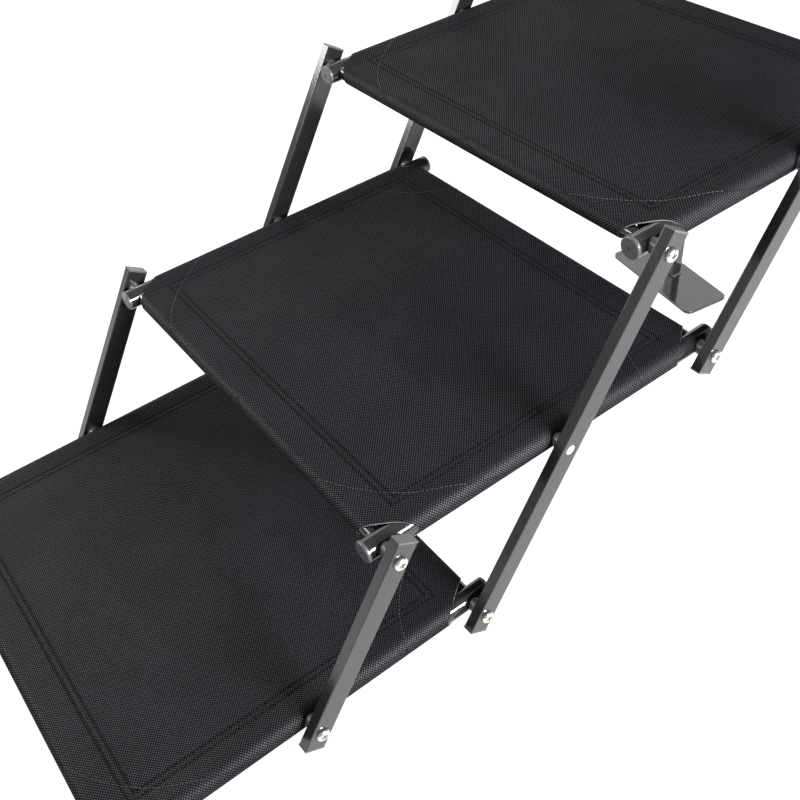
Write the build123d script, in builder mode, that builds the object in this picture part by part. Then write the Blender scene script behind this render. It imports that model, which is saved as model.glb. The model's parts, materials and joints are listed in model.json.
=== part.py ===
from build123d import *

import os
from math import cos, hypot, radians, sin, sqrt

# Folding pet stairs: four fabric treads on tube frames, joined by two rows of link bars.
# The stairs climb towards +Y with +Z up and stand on z = 0. The origin is under the middle
# of the whole length, halfway between the two sides.

# Layout, with all lengths in millimetres
step_count = 4
pivot_spacing = 172.0
link_reach = 172.0
climb_angle = 58.1

# Side rails
rail_x = 203.6
rail_radius = 9.5
rail_wall = 1.5
front_overhang = 16.3
rear_overhang = 19.7

# Plastic caps in the rail ends
cap_flange = 2.8
cap_round = 1.5
cap_plug_length = 8.0
cap_dimple_radius = 1.6
cap_dimple_depth = 0.6

# Crossbars between the rails, in line with the end pivots
crossbar_radius = 6.5
crossbar_wall = 1.2
insert_length = 26.0

# Link bars, square-ended tubes with plastic plugs
link_gap = 5.9
link_width = 20.0
link_depth = 10.0
link_wall = 1.2
link_corner = 1.0
link_overhang = 17.0
end_flange = 1.6
end_edge = 0.4
end_plug_length = 9.0

# Pivot screws, bolts and spacers
screw_radius = 3.0
screw_reach = 20.0
middle_reach = 8.0
head_radius = 6.0
head_height = 3.5
head_round = 2.4
cross_length = 5.4
cross_width = 1.4
cross_depth = 1.8
spacer_radius = 6.5
flat_head_radius = 5.3
flat_head_recess = 0.4
flat_head_edge = 0.4

# Fits
turn_clearance = 0.08
open_clearance = 0.15
thread_clearance = 0.03
plug_clearance = 0.1
side_clearance = 0.1
overrun = 1.0

# Fabric treads
fabric_thickness = 1.2
fabric_gap = 0.25
corner_cut = 20.0
panel_bite = 7.0
panel_skin_share = 0.8
panel_sag = 1.4
hem_sag = 0.1
spacer_hole_gap = 0.5

# Support leg, hinged below the rear crossbar of the last tread but one
leg_x = -12.0
leg_setback = 16.0
leg_width = 13.0
leg_wall = 1.2
leg_corner = 1.2
leg_top_reach = 7.0
leg_swing_gap = 0.5
leg_plug_length = 16.0
leg_flange = 1.6
leg_flange_lip = 1.0
ear_thickness = 2.5
ear_radius = 7.0
notch_gap = 0.5
notch_top_share = 0.9
hinge_head_radius = 5.0
hinge_head_height = 3.0
hinge_head_edge = 0.6

# Foot plate, turned a little on its single bolt
plate_length = 145.0
plate_width = 60.0
plate_thickness = 3.0
plate_corner = 8.0
plate_edge = 0.5
plate_setback = 7.0
plate_turn = -9.2
plate_gap = 0.3
foot_bolt_share = 0.23
foot_bolt_head_lip = 2.6
foot_bolt_head_height = 1.4
foot_bolt_recess = 0.3
foot_bolt_reach = 12.0

# Rubber feet pushed into the lowest rails
foot_radius = 7.5
foot_edge = 1.0
foot_setback = 9.0
foot_stem_radius = 3.0
foot_stem_reach = 5.0

# Places worked out from the sizes above
pivot_order = ("front", "middle", "rear")
sides = {"left": -1, "right": 1}
full_steps = range(2, step_count)
leg_step = step_count - 1
climb_y = cos(radians(climb_angle))
climb_z = sin(radians(climb_angle))
run = pivot_spacing + link_reach * climb_y
rise = link_reach * climb_z
rail_span = pivot_spacing + pivot_spacing
rail_length = rail_span + front_overhang + rear_overhang
first_front = front_overhang - ((step_count - 1) * run + rail_length) / 2
link_end = link_overhang + end_flange
first_height = link_end * climb_z + link_width / 2 * climb_y
link_inner = rail_x + rail_radius + link_gap
link_middle = link_inner + link_depth / 2
link_outer = link_inner + link_depth
insert_end = rail_x - rail_radius
cope_reach = rail_radius - sqrt(rail_radius * rail_radius - crossbar_radius * crossbar_radius)
sleeve_inner = rail_radius + fabric_gap
sleeve_outer = sleeve_inner + fabric_thickness
hem_inner = crossbar_radius + fabric_gap
hem_outer = hem_inner + fabric_thickness
hem_end = rail_x - corner_cut
hinge_drop = crossbar_radius + leg_swing_gap + leg_width / 2
ear_inner = leg_width / 2 + side_clearance
ear_outer = ear_inner + ear_thickness
foot_bolt_radius = leg_width * foot_bolt_share
foot_bolt_head_radius = foot_bolt_radius + foot_bolt_head_lip

os.makedirs("parts", exist_ok=True)


def pivot(step, place):
    """Y and Z of the front, middle or rear pivot of one step."""
    y = first_front + (step - 1) * run + pivot_order.index(place) * pivot_spacing
    z = first_height + (step - 1) * rise
    return y, z


def linked(step, place):
    """Whether a link bar turns on this pivot: all but the very first and the very last."""
    return (step, place) not in ((1, "front"), (step_count, "rear"))


def save(builder, name):
    """Label a finished piece and write it."""
    builder.part.label = name
    export_step(builder.part, f"parts/{name}.step")


def rail_circles(z, radius, mode=Mode.ADD):
    """Circles on both rail axes, in a sketch square to the rails."""
    with Locations((-rail_x, z), (rail_x, z)):
        Circle(radius, mode=mode)


# Side rails
def make_rail(step, side_name):
    """Round tube with bolt holes at its pivots; the middle hole is in the outer wall alone."""
    side = sides[side_name]
    front_y, z = pivot(step, "front")
    with BuildPart() as rail:
        with BuildSketch(Plane.XZ.offset(front_overhang - cap_flange - front_y)):
            with Locations((side * rail_x, z)):
                Circle(rail_radius)
                Circle(rail_radius - rail_wall, mode=Mode.SUBTRACT)
        extrude(amount=cap_flange + cap_flange - rail_length)
        with BuildSketch(Plane.YZ.offset(side * rail_x)):
            with Locations(pivot(step, "front"), pivot(step, "rear")):
                Circle(screw_radius + thread_clearance)
        extrude(amount=rail_radius + overrun, both=True, mode=Mode.SUBTRACT)
        with BuildSketch(Plane.YZ.offset(side * rail_x)):
            with Locations(pivot(step, "middle")):
                Circle(screw_radius + thread_clearance)
        extrude(amount=side * (rail_radius + overrun), mode=Mode.SUBTRACT)
        if step == 1:
            with BuildSketch(Plane.XY.offset(z)):
                with Locations((side * rail_x, front_y + foot_setback)):
                    Circle(foot_stem_radius)
            extrude(amount=-rail_radius - overrun, mode=Mode.SUBTRACT)
    save(rail, f"step_{step}_{side_name}_rail")


def make_rail_caps(step):
    """Four plastic caps, each a domed flange with a small dimple and a plug in the tube."""
    front_y, z = pivot(step, "front")
    front_tip = front_y - front_overhang
    rear_tip = front_tip + rail_length
    with BuildPart() as caps:
        for tip, inward in ((front_tip, 1), (rear_tip, -1)):
            with BuildSketch(Plane.XZ.offset(-tip)):
                rail_circles(z, rail_radius)
            extrude(amount=-inward * cap_flange)
            with BuildSketch(Plane.XZ.offset(-tip)):
                rail_circles(z, rail_radius - rail_wall - plug_clearance)
            extrude(amount=-inward * (cap_flange + cap_plug_length))
        rims = caps.edges().filter_by(GeomType.CIRCLE).sort_by(Axis.Y)
        fillet(rims[0:2] + rims[-2:], cap_round)
        for tip, inward in ((front_tip, 1), (rear_tip, -1)):
            with BuildSketch(Plane.XZ.offset(-tip)):
                rail_circles(z, cap_dimple_radius)
            extrude(amount=-inward * cap_dimple_depth, mode=Mode.SUBTRACT)
    save(caps, f"step_{step}_rail_caps")


# Crossbars
def make_crossbar(step, place):
    """Round tube whose coped ends hug the two rails."""
    front_y, z = pivot(step, "front")
    with BuildPart() as crossbar:
        with BuildSketch(Plane.YZ):
            with Locations(pivot(step, place)):
                Circle(crossbar_radius)
                Circle(crossbar_radius - crossbar_wall, mode=Mode.SUBTRACT)
        extrude(amount=insert_end + cope_reach, both=True)
        with BuildSketch(Plane.XZ.offset(front_overhang - front_y)):
            rail_circles(z, rail_radius)
        extrude(amount=-rail_length, mode=Mode.SUBTRACT)
    save(crossbar, f"step_{step}_{place}_crossbar")


def make_crossbar_inserts(step):
    """Four threaded inserts in the crossbar ends, which the end screws draw up to the rails."""
    with BuildPart() as inserts:
        for side in sides.values():
            with BuildSketch(Plane.YZ.offset(side * insert_end)):
                with Locations(pivot(step, "front"), pivot(step, "rear")):
                    Circle(crossbar_radius - crossbar_wall)
                    Circle(screw_radius + thread_clearance, mode=Mode.SUBTRACT)
            extrude(amount=-side * insert_length)
    save(inserts, f"step_{step}_crossbar_inserts")


# Fabric treads
def panel_section(y, z, half_width, inner, bite, sag):
    """Thin curved strip across the tread, which sags a little between its two edges."""
    skin = fabric_thickness * panel_skin_share
    low = z + sqrt(inner * inner - bite * bite) + (fabric_thickness - skin) / 2
    high = low + skin
    with BuildSketch(Plane.XZ.offset(-y)) as section:
        with BuildLine():
            under = ThreePointArc((-half_width, low), (0, low - sag), (half_width, low))
            over = ThreePointArc((-half_width, high), (0, high - sag), (half_width, high))
            Line(under @ 0, over @ 0)
            Line(under @ 1, over @ 1)
        make_face()
    return section.sketch


def make_tread(step):
    """Taut fabric panel with a sleeve round each rail and a hem round each crossbar."""
    front_y, z = pivot(step, "front")
    middle_y = front_y + pivot_spacing
    rear_y = front_y + rail_span
    panel_half = rail_x - panel_bite
    sections = [panel_section(front_y, z, hem_end, hem_inner, 0, hem_sag)]
    for y in (front_y + corner_cut, middle_y, rear_y - corner_cut):
        sections.append(panel_section(y, z, panel_half, sleeve_inner, panel_bite, panel_sag))
    sections.append(panel_section(rear_y, z, hem_end, hem_inner, 0, hem_sag))
    with BuildPart() as tread:
        loft(sections, ruled=True)
        with BuildSketch(Plane.XZ.offset(-middle_y)):
            rail_circles(z, sleeve_outer)
            rail_circles(z, sleeve_inner, Mode.SUBTRACT)
        extrude(amount=pivot_spacing - corner_cut, both=True)
        with BuildSketch(Plane.YZ):
            with Locations((front_y, z), (rear_y, z)):
                Circle(hem_outer)
                Circle(hem_inner, mode=Mode.SUBTRACT)
        extrude(amount=hem_end, both=True)
        for side in sides.values():
            with BuildSketch(Plane.YZ.offset(side * rail_x)):
                with Locations((middle_y, z)):
                    Circle(spacer_radius + spacer_hole_gap)
            extrude(amount=side * (sleeve_outer + overrun), mode=Mode.SUBTRACT)
        if step == leg_step:
            notch_top = z + crossbar_radius * notch_top_share
            with BuildSketch(Plane.XY.offset(notch_top)):
                with Locations((leg_x, rear_y)):
                    Rectangle(2 * (ear_outer + notch_gap), 2 * (hem_outer + overrun))
            extrude(amount=z - hem_outer - overrun - notch_top, mode=Mode.SUBTRACT)
    save(tread, f"step_{step}_tread")


# Link bars
def link_pivots(number):
    """Pivots of one link bar from its lower end to its upper end, its own step's among them."""
    places = [(number, "middle")]
    if number > 1:
        places.insert(0, (number - 1, "rear"))
    if number < step_count:
        places.append((number + 1, "front"))
    return places


def link_centre(number):
    """Y and Z halfway along a link bar, and its length between its end pivots."""
    places = link_pivots(number)
    low_y, low_z = pivot(*places[0])
    high_y, high_z = pivot(*places[-1])
    return (low_y + high_y) / 2, (low_z + high_z) / 2, hypot(high_y - low_y, high_z - low_z)


def make_link(number, side_name):
    """Rectangular tube that leans at the climb angle, bored at each pivot."""
    side = sides[side_name]
    y, z, length = link_centre(number)
    tube_length = length + link_overhang + link_overhang
    bar_plane = Plane.YZ.offset(side * link_middle)
    through = link_depth / 2 + overrun
    with BuildPart() as link:
        with BuildSketch(bar_plane):
            with Locations((y, z)):
                Rectangle(tube_length, link_width, rotation=climb_angle)
        extrude(amount=link_depth / 2, both=True)
        fillet(link.edges().sort_by(SortBy.LENGTH)[-4:], link_corner)
        with BuildSketch(bar_plane):
            with Locations((y, z)):
                Rectangle(tube_length, link_width - link_wall - link_wall, rotation=climb_angle)
        extrude(amount=link_depth / 2 - link_wall, both=True, mode=Mode.SUBTRACT)
        for place in link_pivots(number):
            clearance = open_clearance if "rear" in place else turn_clearance
            with BuildSketch(bar_plane):
                with Locations(pivot(*place)):
                    Circle(screw_radius + clearance)
            extrude(amount=through, both=True, mode=Mode.SUBTRACT)
        if number in full_steps:
            with BuildSketch(bar_plane):
                with Locations(pivot(number, "middle")):
                    Circle(flat_head_radius + open_clearance)
            extrude(amount=side * through, mode=Mode.SUBTRACT)
    save(link, f"link_{number}_{side_name}")


def make_link_plugs(number):
    """Plastic plugs in both ends of a pair of link bars, each with a flange over the tube."""
    y, z, length = link_centre(number)
    reach = length / 2 + link_overhang
    with BuildPart() as plugs:
        for side in sides.values():
            for end in (-1, 1):
                flange_y = y + end * (reach + end_flange / 2) * climb_y
                flange_z = z + end * (reach + end_flange / 2) * climb_z
                with BuildSketch(Plane.YZ.offset(side * link_middle)):
                    with Locations((flange_y, flange_z)):
                        Rectangle(end_flange, link_width, rotation=climb_angle)
                extrude(amount=link_depth / 2, both=True)
        chamfer(plugs.edges().filter_by(Axis.X), end_edge)
        for side in sides.values():
            for end in (-1, 1):
                plug_y = y + end * (reach - end_plug_length / 2) * climb_y
                plug_z = z + end * (reach - end_plug_length / 2) * climb_z
                with BuildSketch(Plane.YZ.offset(side * link_middle)):
                    with Locations((plug_y, plug_z)):
                        Rectangle(
                            end_plug_length + end_flange,
                            link_width - 2 * (link_wall + plug_clearance),
                            rotation=climb_angle,
                        )
                extrude(amount=link_depth / 2 - link_wall - plug_clearance, both=True)
    save(plugs, f"link_{number}_plugs")


# Pivot hardware
def pan_screw(side, place, seat, tip):
    """Pan-head screw along X: a domed head on its seat, a cross recess, a shank to its tip."""
    with BuildPart() as screw:
        with BuildSketch(Plane.YZ.offset(side * seat)):
            with Locations(place):
                Circle(head_radius)
        extrude(amount=side * head_height)
        crown = screw.faces().sort_by(Axis.X)[-1 if side > 0 else 0]
        fillet(crown.edges(), head_round)
        with BuildSketch(Plane.YZ.offset(side * (seat + head_height))):
            with Locations(place):
                Rectangle(cross_length, cross_width)
                Rectangle(cross_width, cross_length)
        extrude(amount=-side * cross_depth, mode=Mode.SUBTRACT)
        with BuildSketch(Plane.YZ.offset(side * seat)):
            with Locations(place):
                Circle(screw_radius)
        extrude(amount=side * (tip - seat))
    return screw.part


def make_pivot_screws(step):
    """Pan-head screws that the link ends turn on, threaded into the inserts and rails."""
    seat = link_outer + side_clearance
    tips = {"front": insert_end - screw_reach, "rear": insert_end - screw_reach}
    if step not in full_steps:
        tips["middle"] = rail_x + rail_radius - middle_reach
    singles = []
    for side in sides.values():
        for place, tip in tips.items():
            if linked(step, place):
                singles.append(pan_screw(side, pivot(step, place), seat, tip))
    with BuildPart() as screws:
        add(singles)
    save(screws, f"step_{step}_pivot_screws")


def make_crossbar_screws(step, place):
    """Two shorter screws at the one crossbar of this step that carries no link."""
    seat = rail_x + rail_radius
    tip = insert_end - screw_reach
    singles = [pan_screw(side, pivot(step, place), seat, tip) for side in sides.values()]
    with BuildPart() as screws:
        add(singles)
    save(screws, f"step_{step}_crossbar_screws")


def make_middle_bolts(step):
    """Two bolts through the middle of the full links, their flat heads sunk in the outer wall."""
    seat = link_inner + link_wall + side_clearance
    top = link_outer - flat_head_recess
    with BuildPart() as bolts:
        for side in sides.values():
            with BuildSketch(Plane.YZ.offset(side * seat)):
                with Locations(pivot(step, "middle")):
                    Circle(flat_head_radius)
            extrude(amount=side * (top - seat))
            with BuildSketch(Plane.YZ.offset(side * (seat + flat_head_edge))):
                with Locations(pivot(step, "middle")):
                    Circle(screw_radius)
            extrude(amount=side * (rail_x + rail_radius - middle_reach - seat))
        rims = bolts.edges().filter_by(GeomType.CIRCLE).sort_by(Axis.X)
        chamfer([rims[0], rims[-1]], flat_head_edge)
    save(bolts, f"step_{step}_middle_bolts")


def make_spacers(step):
    """Round spacers between the rails and the links, coped to the rails."""
    places = [pivot(step, place) for place in pivot_order if linked(step, place)]
    front_y, z = pivot(step, "front")
    with BuildPart() as spacers:
        for side in sides.values():
            with BuildSketch(Plane.YZ.offset(side * rail_x)):
                with Locations(*places):
                    Circle(spacer_radius)
                    Circle(screw_radius + thread_clearance, mode=Mode.SUBTRACT)
            extrude(amount=side * (rail_radius + link_gap - side_clearance))
        with BuildSketch(Plane.XZ.offset(front_overhang - front_y)):
            rail_circles(z, rail_radius)
        extrude(amount=-rail_length, mode=Mode.SUBTRACT)
    save(spacers, f"step_{step}_spacers")


# Support leg
leg_hinge_y = pivot(leg_step, "rear")[0] - leg_setback
leg_hinge_z = pivot(leg_step, "rear")[1] - hinge_drop
leg_foot_z = plate_thickness + plate_gap + leg_flange


def make_leg_bracket():
    """Two ears welded below the rear crossbar, on either side of the leg."""
    bar = pivot(leg_step, "rear")
    with BuildPart() as bracket:
        for side in sides.values():
            with BuildSketch(Plane.YZ.offset(leg_x + side * ear_inner)):
                with Locations(bar):
                    Circle(crossbar_radius)
                with Locations((leg_hinge_y, leg_hinge_z)):
                    Circle(ear_radius)
                make_hull()
                with Locations(bar):
                    Circle(crossbar_radius, mode=Mode.SUBTRACT)
                with Locations((leg_hinge_y, leg_hinge_z)):
                    Circle(screw_radius + thread_clearance, mode=Mode.SUBTRACT)
            extrude(amount=side * ear_thickness)
    save(bracket, "leg_bracket")


def make_leg_bolt():
    """Hinge bolt of the leg, with a round head and a hexagon nut against the ears."""
    with BuildPart() as bolt:
        with BuildSketch(Plane.YZ.offset(leg_x)):
            with Locations((leg_hinge_y, leg_hinge_z)):
                Circle(screw_radius)
        extrude(amount=ear_outer + hinge_head_height, both=True)
        with BuildSketch(Plane.YZ.offset(leg_x + ear_outer)):
            with Locations((leg_hinge_y, leg_hinge_z)):
                Circle(hinge_head_radius)
        extrude(amount=hinge_head_height)
        with BuildSketch(Plane.YZ.offset(leg_x - ear_outer)):
            with Locations((leg_hinge_y, leg_hinge_z)):
                RegularPolygon(hinge_head_radius, 6)
        extrude(amount=-hinge_head_height)
        crown = bolt.faces().sort_by(Axis.X)[-1]
        chamfer(crown.edges(), hinge_head_edge)
    save(bolt, "leg_hinge_bolt")


def make_leg_post():
    """Square tube of the leg, bored across its top for the hinge bolt."""
    post_top = leg_hinge_z + leg_top_reach
    with BuildPart() as post:
        with BuildSketch(Plane.XY.offset(leg_foot_z)):
            with Locations((leg_x, leg_hinge_y)):
                RectangleRounded(leg_width, leg_width, leg_corner)
                Rectangle(leg_width - 2 * leg_wall, leg_width - 2 * leg_wall, mode=Mode.SUBTRACT)
        extrude(amount=post_top - leg_foot_z)
        with BuildSketch(Plane.YZ.offset(leg_x)):
            with Locations((leg_hinge_y, leg_hinge_z)):
                Circle(screw_radius + turn_clearance)
        extrude(amount=leg_width, both=True, mode=Mode.SUBTRACT)
    save(post, "leg_post")


def make_leg_plug():
    """Plastic plug in the foot of the post, with a flange and a threaded bore."""
    flange_width = leg_width + leg_flange_lip + leg_flange_lip
    plug_width = leg_width - 2 * (leg_wall + plug_clearance)
    with BuildPart() as plug:
        with BuildSketch(Plane.XY.offset(leg_foot_z - leg_flange)):
            with Locations((leg_x, leg_hinge_y)):
                RectangleRounded(flange_width, flange_width, leg_corner)
        extrude(amount=leg_flange)
        with BuildSketch(Plane.XY.offset(leg_foot_z)):
            with Locations((leg_x, leg_hinge_y)):
                Rectangle(plug_width, plug_width)
        extrude(amount=leg_plug_length)
        with BuildSketch(Plane.XY.offset(leg_foot_z - leg_flange)):
            with Locations((leg_x, leg_hinge_y)):
                Circle(foot_bolt_radius + thread_clearance)
        extrude(amount=leg_flange + leg_plug_length, mode=Mode.SUBTRACT)
    save(plug, "leg_plug")


def make_foot_plate():
    """Flat rounded plate under the leg, turned about the bolt that holds it."""
    turned = Plane(
        origin=(leg_x, leg_hinge_y, 0),
        x_dir=(cos(radians(plate_turn)), sin(radians(plate_turn)), 0),
        z_dir=(0, 0, 1),
    )
    pocket_depth = foot_bolt_recess + foot_bolt_head_height + turn_clearance
    with BuildPart() as plate:
        with BuildSketch(turned):
            with Locations((0, -plate_setback)):
                RectangleRounded(plate_length, plate_width, plate_corner)
        extrude(amount=plate_thickness)
        top = plate.faces().sort_by(Axis.Z)[-1]
        fillet(top.edges(), plate_edge)
        with BuildSketch(turned):
            Circle(foot_bolt_radius + turn_clearance)
        extrude(amount=plate_thickness, mode=Mode.SUBTRACT)
        with BuildSketch(turned):
            Circle(foot_bolt_head_radius + turn_clearance)
        extrude(amount=pocket_depth, mode=Mode.SUBTRACT)
    save(plate, "foot_plate")


def make_foot_bolt():
    """Flat-headed bolt sunk in the plate's underside and threaded into the leg's plug."""
    with BuildPart() as bolt:
        with BuildSketch(Plane.XY.offset(foot_bolt_recess)):
            with Locations((leg_x, leg_hinge_y)):
                Circle(foot_bolt_head_radius)
        extrude(amount=foot_bolt_head_height)
        with BuildSketch(Plane.XY.offset(foot_bolt_recess)):
            with Locations((leg_x, leg_hinge_y)):
                Circle(foot_bolt_radius)
        extrude(amount=leg_foot_z + foot_bolt_reach - foot_bolt_recess)
    save(bolt, "foot_bolt")


# Rubber feet
def make_front_feet():
    """Two rubber feet, each shaped to its rail with a stem pushed into the tube."""
    front_y, z = pivot(1, "front")
    spots = [(side * rail_x, front_y + foot_setback) for side in sides.values()]
    with BuildPart() as feet:
        with BuildSketch(Plane.XY):
            with Locations(*spots):
                Circle(foot_radius)
        extrude(amount=z)
        floor_faces = feet.faces().sort_by(Axis.Z)[0:2]
        chamfer(floor_faces.edges(), foot_edge)
        with BuildSketch(Plane.XZ.offset(front_overhang - front_y)):
            rail_circles(z, rail_radius)
        extrude(amount=-rail_length, mode=Mode.SUBTRACT)
        with BuildSketch(Plane.XY.offset(z - rail_radius + foot_stem_reach)):
            with Locations(*spots):
                Circle(foot_stem_radius)
        extrude(amount=-foot_stem_reach - rail_wall)
    save(feet, "front_feet")


for step_number in range(1, step_count + 1):
    for side_word in sides:
        make_rail(step_number, side_word)
        make_link(step_number, side_word)
    make_rail_caps(step_number)
    make_crossbar(step_number, "front")
    make_crossbar(step_number, "rear")
    make_crossbar_inserts(step_number)
    make_tread(step_number)
    make_spacers(step_number)
    make_pivot_screws(step_number)
    make_link_plugs(step_number)
    if step_number in full_steps:
        make_middle_bolts(step_number)
make_crossbar_screws(1, "front")
make_crossbar_screws(step_count, "rear")
make_leg_bracket()
make_leg_bolt()
make_leg_post()
make_leg_plug()
make_foot_plate()
make_foot_bolt()
make_front_feet()
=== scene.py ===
"""Looks of the folding pet stairs: woven, sewn treads on glossy dark tubes, with plated screws."""

import json
import logging
from dataclasses import dataclass, field
from enum import Enum
from functools import cached_property
from math import cos, pi, radians, sin

import bpy
import numpy as np
from mathutils import Matrix, Vector

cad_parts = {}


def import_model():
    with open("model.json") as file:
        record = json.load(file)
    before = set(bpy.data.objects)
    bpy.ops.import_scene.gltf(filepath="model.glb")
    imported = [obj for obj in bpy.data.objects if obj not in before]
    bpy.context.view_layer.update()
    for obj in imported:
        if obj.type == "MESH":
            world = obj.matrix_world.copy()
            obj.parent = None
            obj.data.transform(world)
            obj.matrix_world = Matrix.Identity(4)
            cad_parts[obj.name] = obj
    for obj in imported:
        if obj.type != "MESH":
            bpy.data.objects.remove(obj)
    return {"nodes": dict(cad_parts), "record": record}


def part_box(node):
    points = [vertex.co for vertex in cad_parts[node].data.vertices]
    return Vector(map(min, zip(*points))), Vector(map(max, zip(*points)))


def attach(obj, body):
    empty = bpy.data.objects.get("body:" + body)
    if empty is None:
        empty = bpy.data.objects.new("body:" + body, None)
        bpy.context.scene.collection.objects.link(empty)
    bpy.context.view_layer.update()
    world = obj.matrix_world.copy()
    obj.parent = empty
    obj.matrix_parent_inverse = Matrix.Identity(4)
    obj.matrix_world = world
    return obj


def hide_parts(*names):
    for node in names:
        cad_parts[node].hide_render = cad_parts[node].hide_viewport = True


MM = 0.001
STEPS = range(1, 5)
LEG_STEP = 3  # the tread that carries the leg
FLAT_MAP = "cloth"  # the UV map that holds the cloth's flat measure, in metres
TINY = 1e-9  # keeps a division by a distance defined
LOG = logging.getLogger("pet_stairs")


class End(Enum):
    """The two ends of a tread."""

    FRONT = -1
    REAR = 1


class Socket:
    """One output of a shader node. Arithmetic on it adds Math nodes."""

    def __init__(self, shader: "Shader", link: bpy.types.NodeSocket) -> None:
        """Keep the shader that new nodes go to, and the output."""
        self.shader = shader
        self.link = link

    def _maths(self, operation: str, *values: object) -> "Socket":
        """Add one Math node.

        Args:
            operation: the node's operation.
            values: its inputs in order, as sockets or numbers.

        Returns:
            The node's result.
        """
        return self.shader.node("ShaderNodeMath", {"operation": operation}, dict(enumerate(values)))

    def __add__(self, other: object) -> "Socket":
        """Sum."""
        return self._maths("ADD", self, other)

    def __sub__(self, other: object) -> "Socket":
        """Difference."""
        return self._maths("SUBTRACT", self, other)

    def __mul__(self, other: object) -> "Socket":
        """Product."""
        return self._maths("MULTIPLY", self, other)

    def __pow__(self, other: object) -> "Socket":
        """Power."""
        return self._maths("POWER", self, other)

    def __radd__(self, other: object) -> "Socket":
        """Sum with a number on the left."""
        return self._maths("ADD", other, self)

    def __rsub__(self, other: object) -> "Socket":
        """Difference with a number on the left."""
        return self._maths("SUBTRACT", other, self)

    def __rmul__(self, other: object) -> "Socket":
        """Product with a number on the left."""
        return self._maths("MULTIPLY", other, self)

    def __abs__(self) -> "Socket":
        """Size without its sign."""
        return self._maths("ABSOLUTE", self)

    def sine(self) -> "Socket":
        """Sine of an angle in radians."""
        return self._maths("SINE", self)

    def root(self) -> "Socket":
        """Square root."""
        return self._maths("SQRT", self)

    def above(self, other: object) -> "Socket":
        """1 where the value is above the other, else 0."""
        return self._maths("GREATER_THAN", self, other)

    def ramp(self, low: float, high: float) -> "Socket":
        """Smooth rise from 0 at low to 1 at high.

        Args:
            low: the value that gives 0.
            high: the value that gives 1; below low for a fall.

        Returns:
            The eased value.
        """
        inputs = {"Value": self, "From Min": min(low, high), "From Max": max(low, high)}
        rise = self.shader.node("ShaderNodeMapRange", {"interpolation_type": "SMOOTHSTEP"}, inputs)
        return rise if low < high else 1 - rise


class Shader:
    """A material under construction: its node tree, and one way to add any node to it."""

    def __init__(self, name: str) -> None:
        """Start a material with a single surface shader.

        Args:
            name: the material's name.
        """
        self.material = bpy.data.materials.new(name)
        self.material.use_nodes = True
        self.tree = self.material.node_tree
        self.surface = self.tree.nodes["Principled BSDF"]

    def node(
        self,
        kind: str,
        settings: dict | None = None,
        inputs: dict | None = None,
        output: int | str = 0,
    ) -> Socket:
        """Add a node.

        Args:
            kind: the node's type.
            settings: attributes to set before the sockets, such as a Math node's operation.
            inputs: socket name or number to a Socket or a constant.
            output: name or number of the output that is wanted.

        Returns:
            That output.
        """
        made = self.tree.nodes.new(kind)
        for key, value in (settings or {}).items():
            setattr(made, key, value)
        for key, value in (inputs or {}).items():
            self.feed(made.inputs[key], value)
        return Socket(self, made.outputs[output])

    def feed(self, target: bpy.types.NodeSocket, value: object) -> None:
        """Link a Socket to an input, or set a constant on it.

        Args:
            target: the input.
            value: a Socket, number, colour or vector.
        """
        if isinstance(value, Socket):
            self.tree.links.new(value.link, target)
        else:
            target.default_value = value

    def base(self, **values: object) -> None:
        """Feed the surface shader's inputs, named with underscores for spaces."""
        for key, value in values.items():
            self.feed(self.surface.inputs[key.replace("_", " ")], value)

    def place(self) -> Socket:
        """Position in the piece's own space, in metres."""
        return self.node("ShaderNodeTexCoord", output="Object")

    def noise(self, size: float, detail: float = 2.0, where: Socket | None = None) -> Socket:
        """Even noise from 0 to 1.

        Args:
            size: width of one blotch in metres.
            detail: how many finer layers.
            where: the place to read, or None for the piece's own space.

        Returns:
            The noise value.
        """
        inputs = {"Vector": where or self.place(), "Scale": 1 / size, "Detail": detail}
        return self.node("ShaderNodeTexNoise", {"noise_dimensions": "3D"}, inputs)

    def tint(self, factor: Socket, low: tuple, high: tuple) -> Socket:
        """Colour between two, by a factor.

        A Mix node takes its colours at inputs 6 and 7 and gives its colour at output 2.

        Args:
            factor: 0 for the first colour, 1 for the second.
            low: first colour, red, green and blue.
            high: second colour.

        Returns:
            The mixed colour.
        """
        settings = {"data_type": "RGBA", "clamp_factor": True}
        inputs = {0: factor, 6: (*low, 1), 7: (*high, 1)}
        return self.node("ShaderNodeMix", settings, inputs, output=2)

    def bump(self, height: Socket, depth: float) -> Socket:
        """Surface normal pushed by a height.

        Args:
            height: 0 to 1.
            depth: how far 1 stands out, in metres.

        Returns:
            The normal.
        """
        inputs = {"Height": height, "Distance": depth, "Strength": 1.0}
        return self.node("ShaderNodeBump", None, inputs)


def scaled(tone: tuple, share: float) -> tuple:
    """A colour made darker or lighter by a share."""
    return tuple(share * part for part in tone)


@dataclass(frozen=True)
class GlossPaint:
    """Deep gloss paint on tubes, bars and foot plate, with faint smudges and orange peel."""

    name: str
    tone: tuple = (0.01, 0.01, 0.011)
    roughness: float = 0.07
    smudge: float = 0.05
    smudge_size: float = 22 * MM
    dark_share: float = 0.8
    ripple: float = 0.00003
    ripple_size: float = 2.2 * MM
    index: float = 1.62

    def make(self) -> bpy.types.Material:
        """Build the material.

        Returns:
            The material.
        """
        shader = Shader(self.name)
        cloud = shader.noise(self.smudge_size)
        peel = shader.noise(self.ripple_size, detail=1.0)
        shader.base(
            Base_Color=shader.tint(cloud, scaled(self.tone, self.dark_share), self.tone),
            Roughness=self.roughness + self.smudge * cloud,
            Normal=shader.bump(peel, self.ripple),
            IOR=self.index,
        )
        return shader.material


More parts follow.
